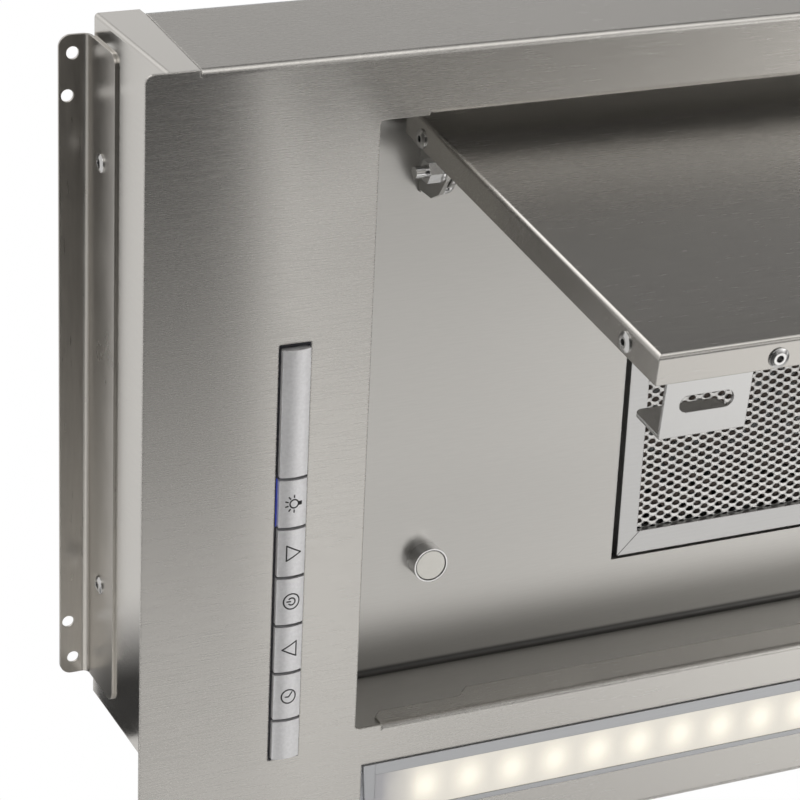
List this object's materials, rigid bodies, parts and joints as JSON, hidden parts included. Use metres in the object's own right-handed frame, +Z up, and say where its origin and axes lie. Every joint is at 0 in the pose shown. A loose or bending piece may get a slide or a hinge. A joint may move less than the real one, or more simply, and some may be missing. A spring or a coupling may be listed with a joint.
{
  "type": "undermount range hood",
  "caption": "Undermount range hood with a hinged perimeter suction panel, grease filters, light bar, push buttons and a duct spigot on its blower housing.",
  "frame": {"origin": "middle of the screw pattern in the two side brackets, on the upper faces of their flanges", "axes": "+X to the user's right along the width, +Y to the wall, +Z up; the face plate looks down at -Z"},
  "size_m": [0.8672, 0.29, 0.4376],
  "materials": {
    "stainless": "brushed along the width",
    "galvanised": "galvanised sheet",
    "pan_steel": "satin",
    "panel_steel": null,
    "zinc_plated": "zinc plated",
    "filter_aluminium": "satin",
    "profile_aluminium": "anodised",
    "motor_aluminium": "die cast",
    "magnet": "sintered ferrite with plated face",
    "diffuser": "milky",
    "board": "solder mask",
    "diodes": "white board with diodes",
    "black_plastic": "matte",
    "silver_cap": "metallic paint",
    "blue_lens": "clear, lit blue",
    "light_plastic": "flame-retardant",
    "dark_plastic": "glass-filled",
    "rubber": "matte"
  },
  "bodies": {
    "hood": {"face_plate": "stainless", "end_cap_left": "stainless", "end_cap_right": "stainless", "front_wall": "stainless", "recess_pan": "pan_steel", "top_cover": "galvanised", "bracket_left": "galvanised", "bracket_right": "galvanised", "bracket_rivets": "zinc_plated", "hinge_bracket_left": "zinc_plated", "hinge_bracket_right": "zinc_plated", "hinge_bolts": "zinc_plated", "hinge_nuts": "zinc_plated", "hinge_screws": "zinc_plated", "magnet_holders": "zinc_plated", "magnets": "magnet", "filter_frame_left": "filter_aluminium", "filter_frame_right": "filter_aluminium", "filter_mesh_left": "filter_aluminium", "filter_mesh_right": "filter_aluminium", "light_profile": "profile_aluminium", "light_diffuser": "diffuser", "light_strip": "diodes", "light_end_caps": "profile_aluminium", "control_bezel": "black_plastic", "badge_plate": "silver_cap", "end_blank": "silver_cap", "indicator_lens": "blue_lens", "control_board": "board", "blower_housing": "galvanised", "housing_screws": "zinc_plated", "scroll_wrapper": "galvanised", "scroll_side_left": "galvanised", "scroll_side_right": "galvanised", "motor": "motor_aluminium", "motor_spider": "galvanised", "motor_bushes": "rubber", "duct_spigot": "dark_plastic", "control_box": "light_plastic", "control_box_lid": "light_plastic", "driver_board": "board", "cable_gland": "dark_plastic"},
    "panel": {"panel_tray": "panel_steel", "panel_liner": "panel_steel", "panel_rivets": "zinc_plated", "hinge_arm_left": "zinc_plated", "hinge_arm_right": "zinc_plated", "striker_left": "zinc_plated", "striker_right": "zinc_plated"},
    "rotor": {"impeller": "dark_plastic", "motor_shaft": "zinc_plated"},
    "flap_front": {"flap_front": "dark_plastic"},
    "flap_rear": {"flap_rear": "dark_plastic"},
    "latch_left": {"filter_latch_left": "dark_plastic"},
    "latch_right": {"filter_latch_right": "dark_plastic"},
    "light_button": {"light_button": "silver_cap"},
    "faster_button": {"faster_button": "silver_cap"},
    "power_button": {"power_button": "silver_cap"},
    "slower_button": {"slower_button": "silver_cap"},
    "timer_button": {"timer_button": "silver_cap"}
  },
  "joints": [
    {"name": "panel_hinge", "type": "hinge", "parent": "hood", "child": "panel", "pos_m": [0, 0.0742, -0.0503], "axis": [1, 0, 0], "range_deg": [-83.3, 6.7]},
    {"name": "fan_spin", "type": "hinge", "parent": "hood", "child": "rotor", "pos_m": [0, -0.036, 0.088], "axis": [1, 0, 0], "continuous": true},
    {"name": "flap_rear_hinge", "type": "hinge", "parent": "hood", "child": "flap_rear", "pos_m": [0, 0.004, 0.1928], "axis": [1, 0, 0], "range_deg": [0, 75]},
    {"name": "flap_front_hinge", "type": "hinge", "parent": "hood", "child": "flap_front", "pos_m": [0, -0.004, 0.1928], "axis": [-1, 0, 0], "range_deg": [0, 75]},
    {"name": "latch_left_slide", "type": "slide", "parent": "hood", "child": "latch_left", "axis": [0, 1, 0], "range_m": [0, 0.005], "stiffness_N_per_m": 150, "springref_m": -0.003},
    {"name": "latch_right_slide", "type": "slide", "parent": "hood", "child": "latch_right", "axis": [0, 1, 0], "range_m": [0, 0.005], "stiffness_N_per_m": 150, "springref_m": -0.003},
    {"name": "light_button_press", "type": "slide", "parent": "hood", "child": "light_button", "axis": [0, 0, 1], "range_m": [0, 0.001], "stiffness_N_per_m": 900, "springref_m": -0.0005},
    {"name": "faster_button_press", "type": "slide", "parent": "hood", "child": "faster_button", "axis": [0, 0, 1], "range_m": [0, 0.001], "stiffness_N_per_m": 900, "springref_m": -0.0005},
    {"name": "power_button_press", "type": "slide", "parent": "hood", "child": "power_button", "axis": [0, 0, 1], "range_m": [0, 0.001], "stiffness_N_per_m": 900, "springref_m": -0.0005},
    {"name": "slower_button_press", "type": "slide", "parent": "hood", "child": "slower_button", "axis": [0, 0, 1], "range_m": [0, 0.001], "stiffness_N_per_m": 900, "springref_m": -0.0005},
    {"name": "timer_button_press", "type": "slide", "parent": "hood", "child": "timer_button", "axis": [0, 0, 1], "range_m": [0, 0.001], "stiffness_N_per_m": 900, "springref_m": -0.0005}
  ]
}
